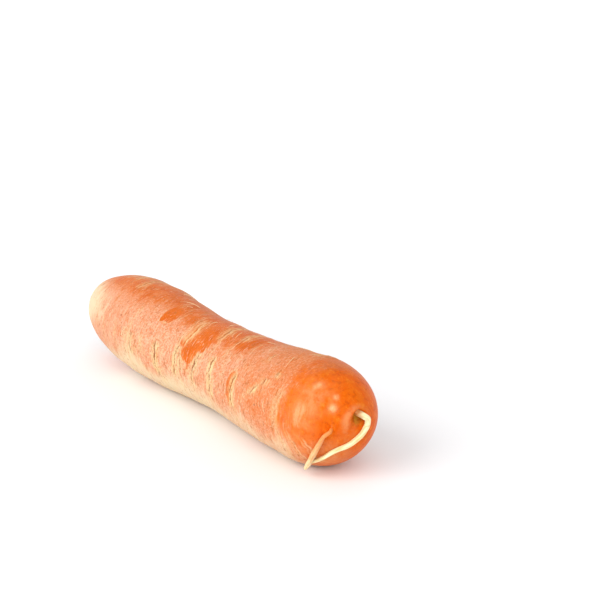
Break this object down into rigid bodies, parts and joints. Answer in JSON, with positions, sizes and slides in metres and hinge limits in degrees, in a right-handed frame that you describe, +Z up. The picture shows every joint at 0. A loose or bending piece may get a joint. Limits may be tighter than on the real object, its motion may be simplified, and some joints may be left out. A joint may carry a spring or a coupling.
{
  "type": "carrot",
  "caption": "Blunt, nearly cylindrical carrot root with trimmed leaf stalks, a thin curled tail and a side rootlet, lying on its side.",
  "frame": {"origin": "bottom centre of the part's box, on the surface that the carrot lies on", "axes": "+X along the root from its crown to its tip, +Z up, +Y to the side that is away from the tail"},
  "size_m": [0.1748, 0.0352, 0.0357],
  "materials": {
    "carrot_skin": "semi-matte orange vegetable skin with a dry, paler bloom"
  },
  "bodies": {
    "root": {"carrot": "carrot_skin"}
  },
  "joints": []
}
